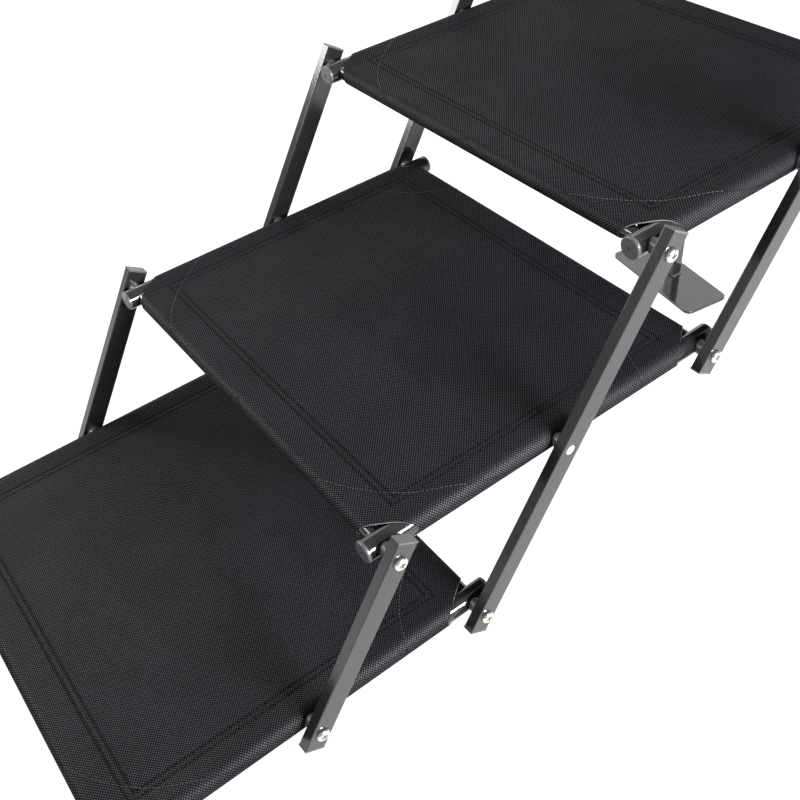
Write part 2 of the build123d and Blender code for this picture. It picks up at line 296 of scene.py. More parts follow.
@dataclass(frozen=True)
class Moulded:
    """Satin moulded plastic or rubber with a fine grain."""

    name: str
    tone: tuple
    roughness: float
    grain: float = 0.00004
    grain_size: float = 0.5 * MM
    blotch: float = 0.08
    blotch_size: float = 9 * MM
    light_share: float = 1.25

    def make(self) -> bpy.types.Material:
        """Build the material.

        Returns:
            The material.
        """
        shader = Shader(self.name)
        cloud = shader.noise(self.blotch_size)
        grit = shader.noise(self.grain_size, detail=3.0)
        shader.base(
            Base_Color=shader.tint(cloud, self.tone, scaled(self.tone, self.light_share)),
            Roughness=self.roughness + self.blotch * cloud,
            Normal=shader.bump(grit, self.grain),
        )
        return shader.material


@dataclass(frozen=True)
class BrightSteel:
    """Plated or turned steel of screws and inserts, a little warm."""

    name: str
    tone: tuple = (0.74, 0.71, 0.66)
    roughness: float = 0.14
    blotch: float = 0.1
    blotch_size: float = 3 * MM
    dark_share: float = 0.82
    ripple: float = 0.00001
    ripple_size: float = 0.6 * MM

    def make(self) -> bpy.types.Material:
        """Build the material.

        Returns:
            The material.
        """
        shader = Shader(self.name)
        cloud = shader.noise(self.blotch_size)
        shader.base(
            Base_Color=shader.tint(cloud, scaled(self.tone, self.dark_share), self.tone),
            Metallic=1.0,
            Roughness=self.roughness + self.blotch * cloud,
            Normal=shader.bump(shader.noise(self.ripple_size), self.ripple),
        )
        return shader.material


@dataclass(frozen=True)
class CornerPatch:
    """Seam of the extra layer in a tread's corner: an arc in the cloth's own flat measure.

    The arc starts on the hem, reach from the corner, and ends on the sleeve, as far from it.
    """

    reach: float = 70.5 * MM
    front_rise: float = 8 * MM
    rear_rise: float = 10 * MM

    def circle(self, end: End) -> tuple[float, float]:
        """Circle of the arc, from the corner inwards.

        A chord joins the two ends at 45 degrees. The front seam rises from it towards the corner,
        and the rear seam away from it.

        Args:
            end: which end of the tread the corner is at.

        Returns:
            Distance of the centre from both edges, below 0 outside the corner, and the radius.
        """
        chord_half = self.reach / np.sqrt(2)
        rise = self.front_rise if end is End.FRONT else self.rear_rise
        radius = (chord_half**2 + rise**2) / (2 * rise)
        middle = self.reach / 2
        along = (radius - rise) / np.sqrt(2)
        return (middle + along, radius) if end is End.FRONT else (middle - along, radius)


@dataclass(frozen=True)
class WovenCloth:
    """Black plain weave in flat measure: painted highlight on warp crowns, painted shade at seams.
    """

    name: str
    pitch: tuple = (1.43 * MM, 1.27 * MM)
    # deep is the weave's base colour; crown is the colour that the painted highlight on the warp
    # crowns reaches.
    deep: tuple = (0.0006, 0.0006, 0.0008)
    crown: tuple = (0.034, 0.032, 0.041)
    crown_power: float = 0.55
    weft_light: float = 0.08
    # Painted highlight: how much of the crown colour the warp crowns take.
    warp_painted_highlight: float = 0.7
    cloud_size: float = 60 * MM
    cloud_low: float = 0.7
    cloud_rise: float = 0.4
    fleck_size: float = 2.4 * MM
    fleck_low: float = 0.5
    fleck_rise: float = 0.7
    roughness: float = 0.8
    shine: float = 1.6
    shine_roughness: float = 0.6
    depth: float = 0.0002
    # Share of the colour taken away along the seams: painted shade in their grooves.
    seam_painted_shade: float = 0.6
    seam_flat: float = 0.8
    row_fall: tuple = (1.9 * MM, 0.6 * MM)
    patch_fall: tuple = (1.8 * MM, 0.5 * MM)
    patch_share: float = 0.5

    def make(
        self,
        patch: CornerPatch,
        half_width: float,
        half_length: float,
        side_rows: tuple,
        end_rows: tuple,
    ) -> bpy.types.Material:
        """Build the material.

        The wave is sin(pi u) sin(pi v), with u and v counted in threads, so warp and weft crowns
        alternate like a chessboard. Its size is the height, and only its positive half, the warp,
        takes the painted highlight in the colour, and the gloss. Seams get painted shade in their
        grooves: a corner's is near its circle, and a row's is near the outline of its rectangle,
        where the larger of the two distances is 0.

        Args:
            patch: the corner seams, drawn as grooves with painted shade.
            half_width: across from the middle to the rails.
            half_length: along from the middle to the end pivots.
            side_rows: across from the middle to each row along the sides.
            end_rows: along from the end pivots to each row across the ends.

        Returns:
            The material.
        """
        shader = Shader(self.name)
        flat = shader.node("ShaderNodeUVMap", {"uv_map": FLAT_MAP})
        split = {"Vector": flat}
        across = shader.node("ShaderNodeSeparateXYZ", None, split, "X")
        along = shader.node("ShaderNodeSeparateXYZ", None, split, "Y")
        wave = (across * (pi / self.pitch[0])).sine() * (along * (pi / self.pitch[1])).sine()
        crown = abs(wave) ** self.crown_power
        # warp marks the warp crowns, which carry the painted highlight.
        warp = (wave + abs(wave)) * 0.5
        # Masks of the seam grooves, where painted shade darkens the colour and the weave's bump
        # flattens.
        seams = []
        for end in End:
            centre, radius = patch.circle(end)
            off_x = abs(across) - (half_width - centre)
            off_y = end.value * along - (half_length - centre)
            gap = abs((off_x * off_x + off_y * off_y).root() - radius)
            here = (end.value * along).above(0)
            seams.append(gap.ramp(*self.patch_fall) * here * self.patch_share)
        for row, from_end in zip(side_rows, end_rows):
            off_side = abs(across) - row
            off_end = abs(along) - (half_length - from_end)
            gap = abs((off_side + off_end + abs(off_side - off_end)) * 0.5)
            seams.append(gap.ramp(*self.row_fall))
        # groove gathers the seam masks; it darkens the colour as painted shade.
        groove = sum(seams[1:], seams[0]).ramp(0.0, 1.0)
        cloud = shader.noise(self.cloud_size, detail=3.0)
        fleck = shader.noise(self.fleck_size, detail=1.0, where=flat)
        # Colour factor: painted highlight on the warp crowns, random blotches and flecks, and
        # painted shade in the seam grooves.
        shade = self.weft_light + self.warp_painted_highlight * warp
        shade = shade * (self.cloud_low + self.cloud_rise * cloud)
        shade = shade * (self.fleck_low + self.fleck_rise * fleck) * (1 - self.seam_painted_shade * groove)
        shader.base(
            Base_Color=shader.tint(shade, self.deep, self.crown),
            Roughness=self.roughness,
            Normal=shader.bump(crown * (1 - self.seam_flat * groove), self.depth),
            Specular_IOR_Level=0.0,
            Coat_Weight=self.shine * shade,
            Coat_Roughness=self.shine_roughness,
        )
        return shader.material


@dataclass(frozen=True)
class TwistedThread:
    """Sewing thread of fine twisted fibres."""

    name: str
    tone: tuple
    dark_share: float = 0.6
    fibre_size: float = 0.35 * MM
    depth: float = 0.00005
    roughness: float = 0.5
    specular: float = 0.2

    def make(self) -> bpy.types.Material:
        """Build the material.

        Returns:
            The material.
        """
        shader = Shader(self.name)
        fibre = shader.noise(self.fibre_size)
        shader.base(
            Base_Color=shader.tint(fibre, scaled(self.tone, self.dark_share), self.tone),
            Roughness=self.roughness,
            Specular_IOR_Level=self.specular,
            Normal=shader.bump(fibre, self.depth),
        )
        return shader.material


@dataclass
class Profile:
    """A line in a plane, walked by its own length: straights and arcs whose corners are eased."""

    step: float = 0.25 * MM
    ease: float = 1.2 * MM
    bell_reach: float = 3.0
    arc_samples: int = 90
    points: list = field(default_factory=list)

    def straight(self, *end: float) -> "Profile":
        """Go straight to a point, given as outward and up."""
        self.points.append(np.array([end]))
        return self

    def arc(self, centre: tuple, radius: float, start: float, stop: float) -> "Profile":
        """Go round a circle.

        Args:
            centre: its outward and up position.
            radius: its radius.
            start: first angle in radians, from outward towards up.
            stop: last angle.

        Returns:
            The profile, for the next stretch.
        """
        angle = np.linspace(start, stop, self.arc_samples)
        self.points.append(np.array(centre) + radius * np.c_[np.cos(angle), np.sin(angle)])
        return self

    @cached_property
    def walked(self) -> tuple[np.ndarray, np.ndarray]:
        """Walk the line.

        It is read at even steps, each point becomes a bell-weighted mean of its neighbours, and
        the lengths are measured again.

        Returns:
            Lengths from the start, and the eased points there.
        """
        corners = np.concatenate(self.points)
        lengths = np.r_[0, np.cumsum(np.hypot(*np.diff(corners, axis=0).T))]
        even = np.arange(0, lengths[-1], self.step)
        line = np.stack([np.interp(even, lengths, part) for part in corners.T], axis=1)
        reach = int(self.bell_reach * self.ease / self.step)
        bell = np.exp(-0.5 * (np.arange(-reach, reach + 1) * self.step / self.ease) ** 2)
        padded = np.pad(line, ((reach, reach), (0, 0)), mode="reflect", reflect_type="odd")
        share = bell / bell.sum()
        eased = np.stack([np.convolve(part, share, "valid") for part in padded.T], axis=1)
        return np.r_[0, np.cumsum(np.hypot(*np.diff(eased, axis=0).T))], eased

    @property
    def length(self) -> float:
        """Whole length of the line."""
        return float(self.walked[0][-1])

    def at(self, way: np.ndarray) -> tuple[np.ndarray, np.ndarray]:
        """Outward and up position at each length along the line."""
        lengths, points = self.walked
        return np.interp(way, lengths, points[:, 0]), np.interp(way, lengths, points[:, 1])


def wrapped(pull: tuple, centre: tuple, radius: float) -> tuple[float, float]:
    """Angles where a cloth pulled from a point inboard meets and leaves a tube.

    A tangent from a point at distance d touches a circle of radius r at acos(r / d) to either side
    of the line to the point.

    Args:
        pull: the point, as outward and up.
        centre: the tube's axis.
        radius: the radius that the cloth keeps.

    Returns:
        The angle on top where it lands and the angle below where it leaves, going round outside.
    """
    out, up = pull[0] - centre[0], pull[1] - centre[1]
    toward = np.arctan2(up, out)
    beside = np.arccos(radius / np.hypot(out, up))
    return toward - beside, toward + beside - 2 * pi


def smooth(value: np.ndarray) -> np.ndarray:
    """Ease 0 to 1: 3 x squared minus 2 x cubed, held at both ends."""
    held = np.clip(value, 0, 1)
    return held * held * (3 - 2 * held)


def spread(*stops: tuple) -> np.ndarray:
    """Sample places with their own spacing in each stretch.

    Args:
        stops: pairs of a place and the spacing up to it; the first spacing isn't used.

    Returns:
        The places, each once.
    """
    made = [np.array([stops[0][0]])]
    for (start, _), (stop, spacing) in zip(stops, stops[1:]):
        count = max(1, round(abs(stop - start) / spacing))
        made.append(np.linspace(start, stop, count + 1)[1:])
    return np.concatenate(made)


def mirrored(half: np.ndarray) -> np.ndarray:
    """Samples from 0 outwards, with the same ones below 0."""
    return np.r_[-half[:0:-1], half]


def mesh_piece(
    name: str, points: np.ndarray, faces: np.ndarray, flat: np.ndarray | None = None
) -> bpy.types.Object:
    """Make an object from arrays.

    Args:
        name: the piece's name.
        points: one row of x, y, z per vertex, in metres.
        faces: one row of vertex numbers per face.
        flat: one row of cloth measure per vertex, or None.

    Returns:
        The object, linked to the scene, with smooth faces.
    """
    mesh = bpy.data.meshes.new(name)
    mesh.from_pydata(points.tolist(), [], faces.tolist())
    if flat is not None:
        layer = mesh.uv_layers.new(name=FLAT_MAP)
        layer.data.foreach_set("uv", flat[faces.ravel()].astype(np.float32).ravel())
    mesh.polygons.foreach_set("use_smooth", np.ones(len(faces), bool))
    mesh.validate()
    piece = bpy.data.objects.new(name, mesh)
    bpy.context.scene.collection.objects.link(piece)
    return piece


def grid_faces(rows: int, columns: int) -> np.ndarray:
    """Quads of a grid whose vertices run along the columns first."""
    first = (np.arange(rows - 1)[:, None] * columns + np.arange(columns - 1)).ravel()
    return np.c_[first, first + 1, first + columns + 1, first + columns]


@dataclass(frozen=True)
class Spacing:
    """How far apart the cloth's vertices lie, and how far past a place each close stretch goes."""

    notch: float = 3 * MM
    panel_across: float = 4.2 * MM
    panel_along: float = 3.2 * MM
    rows: float = 0.75 * MM
    before_side_rows: float = 4 * MM
    after_side_rows: float = 3 * MM
    before_end_rows: float = 5 * MM
    after_end_rows: float = 4 * MM
    rail_roll: float = 1.6 * MM
    sleeve_edge: float = 2.5 * MM
    hole: float = 1.6 * MM
    hole_reach: float = 20 * MM
    hem_top: float = 2.4 * MM
    hem_roll: float = 1.1 * MM
    before_roll: float = 4 * MM
    after_tip: float = 12 * MM
    hem_edge: float = 3 * MM


@dataclass
class TreadCloth:
    """Shape of one tread's cloth, read from the tubes that carry it.

    The cloth is laid out flat by two measures: across, from the middle towards the rails, and
    along, from the middle towards the end crossbars. Each measure is walked on its own profile,
    panel, tube and the turned-back layer below, and the two heights are added.

    The level is the panel's height over the tubes' axes. Rows are places of the seams, outer and
    inner: side rows across from the middle, end rows along from the crossbars' axes.
    """

    step: int
    thickness: float = 0.9 * MM
    clearance: float = 0.35 * MM
    level: float = 7.3 * MM
    sag: float = 2.5 * MM
    side_rows: tuple = (187.0 * MM, 181.0 * MM)
    end_rows: tuple = (25.0 * MM, 31.0 * MM)
    turn_back: float = 4.0 * MM
    layer_gap: float = 1.15 * MM
    row_groove: float = 0.2 * MM
    row_reach: float = 0.9 * MM
    strip_rise: float = 0.1 * MM
    pucker: float = 0.16 * MM
    pucker_wave: float = 14.5 * MM
    pucker_reach: float = 2.6 * MM
    strip_ease: float = 2 * MM
    side_fade: float = 9 * MM
    end_fade: float = 12 * MM
    top_margin: float = 2 * MM
    top_fade: float = 8 * MM
    top_over: float = 4 * MM
    flat_short: float = 6 * MM
    probe: float = 0.2 * MM
    weld: float = 0.01 * MM
    hem_half: float = 183.6 * MM
    arch_end: float = 31.0 * MM
    arch_round: float = 0.1
    arch_power: float = 1.1
    under_end: float = 7.6 * MM
    hole_radius: float = 7.2 * MM
    hole_blend: float = 17.0 * MM
    hole_core_share: float = 0.5
    notch_half: float = 10.6 * MM
    notch_start: float = 9 * MM
    patch: CornerPatch = CornerPatch()
    spacing: Spacing = Spacing()

    def __post_init__(self) -> None:
        """Read the tubes' places from the frame and lay out the two profiles."""
        rail_low, rail_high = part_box(f"step_{self.step}_right_rail")
        front_low, front_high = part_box(f"step_{self.step}_front_crossbar")
        rear_low, rear_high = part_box(f"step_{self.step}_rear_crossbar")
        front = (front_low.y + front_high.y) / 2
        rear = (rear_low.y + rear_high.y) / 2
        outer = self.clearance + self.thickness / 2
        rail_radius = (rail_high.z - rail_low.z) / 2 + outer
        bar_radius = (front_high.z - front_low.z) / 2 + outer
        self.rail_x = (rail_low.x + rail_high.x) / 2
        self.height = (rail_low.z + rail_high.z) / 2
        self.middle = (front + rear) / 2
        self.half_length = (rear - front) / 2
        self.side = self._side_profile(rail_radius)
        self.end = self._end_profile(bar_radius)
        self.tip = self.half_length + bar_radius * pi / 2
        lengths, points = self.side.walked
        self.outer_side = lengths[np.argmax(points[:, 0])]

    def _side_profile(self, radius: float) -> Profile:
        """Across: flat to the outer seam row, over and round the rail, and back below the panel.

        Args:
            radius: from the rail's axis to the cloth's middle layer.

        Returns:
            The profile.
        """
        seam = (self.side_rows[0], 0.0)
        axis = (self.rail_x, -self.level)
        below = (seam[0], -self.layer_gap)
        lands, _ = wrapped(seam, axis, radius)
        _, leaves = wrapped(below, axis, radius)
        line = Profile().straight(0, 0).straight(*seam)
        line.arc(axis, radius, lands, leaves).straight(*below)
        return line.straight(self.side_rows[1] - self.turn_back, -self.layer_gap)

    def _end_profile(self, radius: float) -> Profile:
        """Along: flat to above the crossbar, round it, and back below to both seam rows.

        Args:
            radius: from the crossbar's axis to the cloth's middle layer.

        Returns:
            The profile.
        """
        pivot = self.half_length
        row = (pivot - self.end_rows[0], -self.layer_gap)
        axis = (pivot, -self.level)
        _, leaves = wrapped(row, axis, radius)
        line = Profile().straight(0, 0).straight(pivot - self.flat_short, 0)
        line.arc(axis, radius, pi / 2, leaves).straight(*row)
        return line.straight(pivot - self.end_rows[1] - self.turn_back, -self.layer_gap)

    def arch(self, across: np.ndarray) -> np.ndarray:
        """How far along the cut corner reaches at each measure across.

        The cut is deepest on the rail's outer side and rises from there to the hem's tip as a
        rounded V: the root of d squared plus arch_round squared, less arch_round, to the power
        arch_power, with d from 0 at the outer side to 1 at the hem. The layer below rises the
        same way but stops short of the crossbar.

        Args:
            across: measures across, from the middle outwards.

        Returns:
            The reach along at each, from the middle.
        """
        gap = np.abs(across - self.outer_side) / (self.outer_side - self.hem_half)
        rounded = np.sqrt(np.clip(gap, 0, 1) ** 2 + self.arch_round**2) - self.arch_round
        whole = np.sqrt(1 + self.arch_round**2) - self.arch_round
        inner = self.half_length - self.arch_end
        reach = inner + (self.tip - inner) * (rounded / whole) ** self.arch_power
        below = np.minimum(reach, self.half_length - self.under_end)
        return np.where(across > self.outer_side, below, reach)

    def bowl(self, out: np.ndarray, forth: np.ndarray) -> np.ndarray:
        """Sag of both layers, the shape of a bowl: 1 - x^4 times 1 - y^4.

        Args:
            out: distance from the middle across.
            forth: distance from the middle along.

        Returns:
            The height, 0 or below.
        """
        x = np.clip(out / self.side_rows[1], 0, 1)
        y = np.clip(forth / self.half_length, 0, 1)
        return -self.sag * (1 - x**4) * (1 - y**4)

    def relief(self, across: np.ndarray, along: np.ndarray) -> np.ndarray:
        """Height of the top layer over the bowl: doubled strips, row grooves and puckers.

        The turned-back strips lift the top layer. Each row of stitches presses a bell-shaped
        groove, and the cloth rises and falls a little along the rows.

        Args:
            across: measures across.
            along: measures along.

        Returns:
            The height.
        """
        off_middle = np.abs(across)
        from_end = self.half_length - np.abs(along)
        side_in = self.side_rows[1] - self.turn_back
        end_in = self.end_rows[1] + self.turn_back
        on_side = smooth((off_middle - side_in) / self.strip_ease)
        on_side = on_side * smooth((self.rail_x - off_middle) / self.side_fade)
        on_end = smooth((end_in - from_end) / self.strip_ease) * smooth(from_end / self.end_fade)
        height = self.strip_rise * np.maximum(on_side, on_end)
        sides = (self.side_rows, off_middle, along)
        ends = (self.end_rows, from_end, across)
        for rows, off, way in (sides, ends):
            swell = self.pucker * np.sin(2 * pi * way / self.pucker_wave)
            for row in rows:
                height = height + swell * np.exp(-(((off - row) / self.pucker_reach) ** 2))
                height = height - self.row_groove * np.exp(-(((off - row) / self.row_reach) ** 2))
        return height

    def place(self, across: np.ndarray, along: np.ndarray) -> np.ndarray:
        """Where the cloth's middle layer lies.

        Args:
            across: measure from the middle towards the right rail, below 0 to the left.
            along: measure from the middle towards the rear, below 0 to the front.

        Returns:
            x, y and z on the last axis, in metres, in the frame of the whole stairs.
        """
        out, side_up = self.side.at(np.abs(across))
        forth, end_up = self.end.at(np.abs(along))
        top = smooth((self.rail_x - self.top_margin - np.abs(across)) / self.top_fade)
        top = top * (np.abs(along) < self.half_length + self.top_over)
        lift = self.bowl(out, forth) + self.relief(across, along) * top
        x = np.sign(across) * out
        y = self.middle + np.sign(along) * forth
        return np.stack([x, y, self.height + self.level + side_up + end_up + lift], axis=-1)

    def normal(self, across: np.ndarray, along: np.ndarray) -> np.ndarray:
        """Outward direction of the cloth, from small steps both ways.

        Args:
            across: measures across.
            along: measures along.

        Returns:
            Directions of length 1, on the last axis.
        """
        ahead = self.place(across + self.probe, along) - self.place(across - self.probe, along)
        beside = self.place(across, along + self.probe) - self.place(across, along - self.probe)
        turned = np.cross(ahead, beside)
        return turned / np.linalg.norm(turned, axis=-1, keepdims=True)

    def _across_samples(self) -> tuple[np.ndarray, np.ndarray]:
        """Places across.

        Returns:
            Those from the middle to the hem's end, and those on to the sleeve's inner edge.
        """
        outer, inner = self.side_rows
        gaps = self.spacing
        middle = spread(
            (0, 0),
            (self.notch_half, gaps.notch),
            (inner - gaps.before_side_rows, gaps.panel_across),
            (self.hem_half, gaps.rows),
        )
        rail_end = self.side.length - (outer - inner) - self.turn_back
        beyond = spread(
            (self.hem_half, 0),
            (outer + gaps.after_side_rows, gaps.rows),
            (rail_end, gaps.rail_roll),
            (self.side.length, gaps.sleeve_edge),
        )
        return middle, beyond

    def _along_samples(self) -> tuple[np.ndarray, np.ndarray]:
        """Places along.

        Returns:
            Those from the middle to the hem's tip, and those on to the hem's inner edge.
        """
        outer, inner = self.end_rows
        gaps = self.spacing
        hole = spread((0, 0), (gaps.hole_reach, gaps.hole))
        panel = spread(
            (gaps.hole_reach, 0),
            (self.half_length - inner - gaps.before_end_rows, gaps.panel_along),
            (self.half_length - outer + gaps.after_end_rows, gaps.rows),
            (self.half_length - gaps.before_roll, gaps.hem_top),
            (self.tip, gaps.hem_roll),
        )
        hem = spread(
            (self.tip, 0),
            (self.tip + gaps.after_tip, gaps.hem_roll),
            (self.end.length, gaps.hem_edge),
        )
        return np.r_[hole, panel[1:]], hem

    def _open_hole(
        self, across: np.ndarray, along: np.ndarray
    ) -> tuple[np.ndarray, np.ndarray, np.ndarray]:
        """Part the cloth round the middle spacers.

        Each point closer than hole_blend to the hole's centre moves out along its own ray, so that
        the stretch from the core's edge to hole_blend becomes hole_radius to hole_blend. Points in
        the core go.

        Args:
            across: measures across.
            along: measures along.

        Returns:
            The moved measures across and along, and which points lie in the core.
        """
        at_rail = self.outer_side
        core = self.hole_core_share * self.hole_radius
        off_x, off_y = np.abs(across) - at_rail, along
        far = np.hypot(off_x, off_y) + TINY
        share = (far - core) / (self.hole_blend - core)
        moved = self.hole_radius + (self.hole_blend - self.hole_radius) * np.clip(share, 0, 1)
        scale = np.where(far < self.hole_blend, moved / far, 1.0)
        inside = far < core
        return np.sign(across) * (at_rail + off_x * scale), off_y * scale, inside

    def flat_mesh(self) -> tuple[np.ndarray, np.ndarray]:
        """Vertices in flat measure and the faces of the whole cloth, a cross with arched corners.

        Returns:
            Rows of across and along, and rows of four vertex numbers.
        """
        middle, beyond = self._across_samples()
        inner, hem = self._along_samples()
        share = mirrored(inner) / self.tip
        columns = mirrored(middle)
        rows = np.r_[-hem[:0:-1], mirrored(inner), hem[1:]]
        along, across = np.meshgrid(rows, columns)
        parts = [np.stack([across.ravel(), along.ravel()], axis=1)]
        faces = [grid_faces(len(columns), len(rows))]
        notch = self._notch(parts[0], faces[0])
        faces[0] = faces[0][~notch]
        for side in (-1, 1):
            reach = self.arch(beyond)
            over = np.repeat(beyond[:, None], len(share), axis=1)
            forth = reach[:, None] * share
            over, forth, inside = self._open_hole(side * over, forth)
            quads = grid_faces(len(beyond), len(share))
            quads = quads[~inside.ravel()[quads].any(axis=1)]
            quads = quads if side > 0 else quads[:, ::-1]
            faces.append(quads + sum(len(part) for part in parts))
            parts.append(np.stack([over.ravel(), forth.ravel()], axis=1))
        flat, quads = np.concatenate(parts), np.concatenate(faces)
        keys = np.round(flat / self.weld).astype(np.int64)
        _, first, back = np.unique(keys, axis=0, return_index=True, return_inverse=True)
        quads = back.ravel()[quads]
        used, quads = np.unique(quads, return_inverse=True)
        return flat[first][used], quads.reshape(-1, 4)

    def _notch(self, flat: np.ndarray, faces: np.ndarray) -> np.ndarray:
        """Faces of the rear hem that make way for the leg's bracket, where this tread has one.

        Args:
            flat: rows of across and along.
            faces: rows of vertex numbers.

        Returns:
            True for each face that goes.
        """
        if self.step != LEG_STEP:
            return np.zeros(len(faces), bool)
        centres = flat[faces].mean(axis=1)
        low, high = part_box("leg_bracket")
        beside = np.abs(centres[:, 0] - (low.x + high.x) / 2) < self.notch_half
        return beside & (centres[:, 1] > self.half_length + self.notch_start)

    def flat_area(self, flat: np.ndarray, faces: np.ndarray) -> float:
        """Area of the cut cloth before it is sewn, by the shoelace rule on each face."""
        x, y = flat[faces][..., 0], flat[faces][..., 1]
        return float(np.abs((x * np.roll(y, -1, 1) - y * np.roll(x, -1, 1)).sum(1)).sum() / 2)


@dataclass
class Stitching:
    """Rows of thread sewn through one tread: short arched dashes that dip into the cloth."""

    cloth: TreadCloth
    length: float = 2.7 * MM
    gap: float = 1.0 * MM
    radius: float = 0.27 * MM
    end_share: float = 0.45
    sink: float = 0.15 * MM
    rise: float = 0.28 * MM
    over_roll: float = 11 * MM
    row_samples: int = 400
    corner_samples: int = 200
    rings: int = 5
    sides: int = 6

    def rows(self) -> list[np.ndarray]:
        """Straight rows: two along each side and end, up to where they meet.

        Returns:
            Each row's flat path.
        """
        shape = self.cloth
        line = np.linspace(-1, 1, self.row_samples)
        paths = []
        for row, from_end in zip(shape.side_rows, shape.end_rows):
            place = shape.half_length - from_end
            for side in (-1, 1):
                paths.append(np.c_[np.full_like(line, side * row), line * place])
                paths.append(np.c_[line * row, np.full_like(line, side * place)])
        return paths

    def corners(self) -> list[np.ndarray]:
        """Flat paths of the corner patches' seams."""
        return [self._corner(end, side) for end in End for side in (-1, 1)]

    def _corner(self, end: End, side: int) -> np.ndarray:
        """Flat path of one corner's seam, from the hem's roll to the sleeve's.

        Its middle lies on the corner's diagonal: from the circle's centre towards the corner at the
        front, and away from it at the rear.

        Args:
            end: which end of the tread.
            side: -1 for the left corner, 1 for the right.

        Returns:
            Rows of across and along.
        """
        shape = self.cloth
        centre, radius = shape.patch.circle(end)
        toward = -3 * pi / 4 if end is End.FRONT else pi / 4
        half_turn = np.arcsin((shape.patch.reach / np.sqrt(2) + self.over_roll) / radius)
        angle = toward + np.linspace(-half_turn, half_turn, self.corner_samples)
        from_side = centre + radius * np.cos(angle)
        from_end = centre + radius * np.sin(angle)
        return np.c_[side * (shape.rail_x - from_side), end.value * (shape.half_length - from_end)]

    def dashes(self, path: np.ndarray) -> tuple[np.ndarray, np.ndarray]:
        """Tubes of all stitches on one path.

        Each stitch is sampled at a few places. Its height over the cloth is a half sine, its rings
        shrink at both ends, and each ring is a circle square to the path.

        Args:
            path: rows of across and along.

        Returns:
            Vertices and faces.
        """
        shape = self.cloth
        lengths = np.r_[0, np.cumsum(np.hypot(*np.diff(path, axis=0).T))]
        count = int(lengths[-1] / (self.length + self.gap))
        share = np.linspace(0, 1, self.rings)
        starts = np.arange(count) * (self.length + self.gap)
        way = starts[:, None] + share * self.length
        across, along = (np.interp(way, lengths, path[:, axis]) for axis in (0, 1))
        normal = shape.normal(across, along)
        lift = shape.thickness / 2 - self.sink + self.rise * np.sin(pi * share)
        centre = shape.place(across, along) + normal * lift[None, :, None]
        ahead = np.gradient(centre, axis=1)
        ahead /= np.linalg.norm(ahead, axis=-1, keepdims=True)
        beside = np.cross(ahead, normal)
        size = self.radius * (self.end_share + (1 - self.end_share) * np.sin(pi * share) ** 0.5)
        angle = np.arange(self.sides) * 2 * pi / self.sides
        ring = np.cos(angle)[:, None] * beside[..., None, :]
        ring = ring + np.sin(angle)[:, None] * normal[..., None, :]
        points = centre[..., None, :] + ring * size[None, :, None, None]
        firsts = np.arange(count) * self.rings * self.sides
        faces = self._tube_faces()[None] + firsts[:, None, None]
        return points.reshape(-1, 3), faces.reshape(-1, 4)

    def _tube_faces(self) -> np.ndarray:
        """Faces of one stitch: its wall, and two quads across the six points of either end.

        Returns:
            Rows of four vertex numbers.
        """
        ring = np.arange(self.sides)
        after = (ring + 1) % self.sides
        wall = [
            np.c_[ring + low, ring + low + self.sides, after + low + self.sides, after + low]
            for low in range(0, (self.rings - 1) * self.sides, self.sides)
        ]
        first = np.array([[0, 1, 2, 3], [0, 3, 4, 5]])
        last = first[:, ::-1] + (self.rings - 1) * self.sides
        return np.concatenate([*wall, first, last])

    def build(
        self, name: str, paths: list[np.ndarray], finish: bpy.types.Material
    ) -> bpy.types.Object:
        """Make the thread of some rows as one piece.

        Args:
            name: the piece's name.
            paths: the rows' flat paths.
            finish: the thread's material.

        Returns:
            The thread.
        """
        points, faces, total = [], [], 0
        for path in paths:
            made, quads = self.dashes(path)
            points.append(made)
            faces.append(quads + total)
            total += len(made)
        thread = mesh_piece(name, np.concatenate(points), np.concatenate(faces))
        thread.data.materials.append(finish)
        return thread


@dataclass
class Tread:
    """One fabric tread: its cloth and its thread, sewn and dressed."""

    step: int

    def build(self, finishes: "Finishes") -> None:
        """Make the cloth and the stitches, and tie them to the frame.

        Args:
            finishes: the shared materials.
        """
        node = f"step_{self.step}_tread"
        shape = TreadCloth(self.step)
        flat, faces = shape.flat_mesh()
        points = shape.place(flat[:, 0], flat[:, 1])
        cloth = mesh_piece(f"step_{self.step}_cloth", points, faces, flat)
        wall = cloth.modifiers.new("thickness", "SOLIDIFY")
        wall.thickness = shape.thickness
        wall.offset = 0
        wall.material_offset_rim = 1
        cloth.data.materials.append(finishes.cloth)
        cloth.data.materials.append(finishes.cut_edge)
        rows = Stitching(shape)
        patches = Stitching(shape, length=3.2 * MM, gap=0.5 * MM, radius=0.32 * MM)
        thread = rows.build(f"step_{self.step}_thread", rows.rows(), finishes.thread)
        seams = patches.build(
            f"step_{self.step}_patch_thread", patches.corners(), finishes.patch_thread
        )
        for piece in (cloth, thread, seams):
            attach(piece, f"step_{self.step}")
        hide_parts(node)
        2 * shape.side.length
        2 * shape.end.length
        shape.flat_area(flat, faces)
        stitches = len(thread.data.polygons)
        LOG.info("tread %d: cloth of %d faces, thread of %d", self.step, len(faces), stitches)


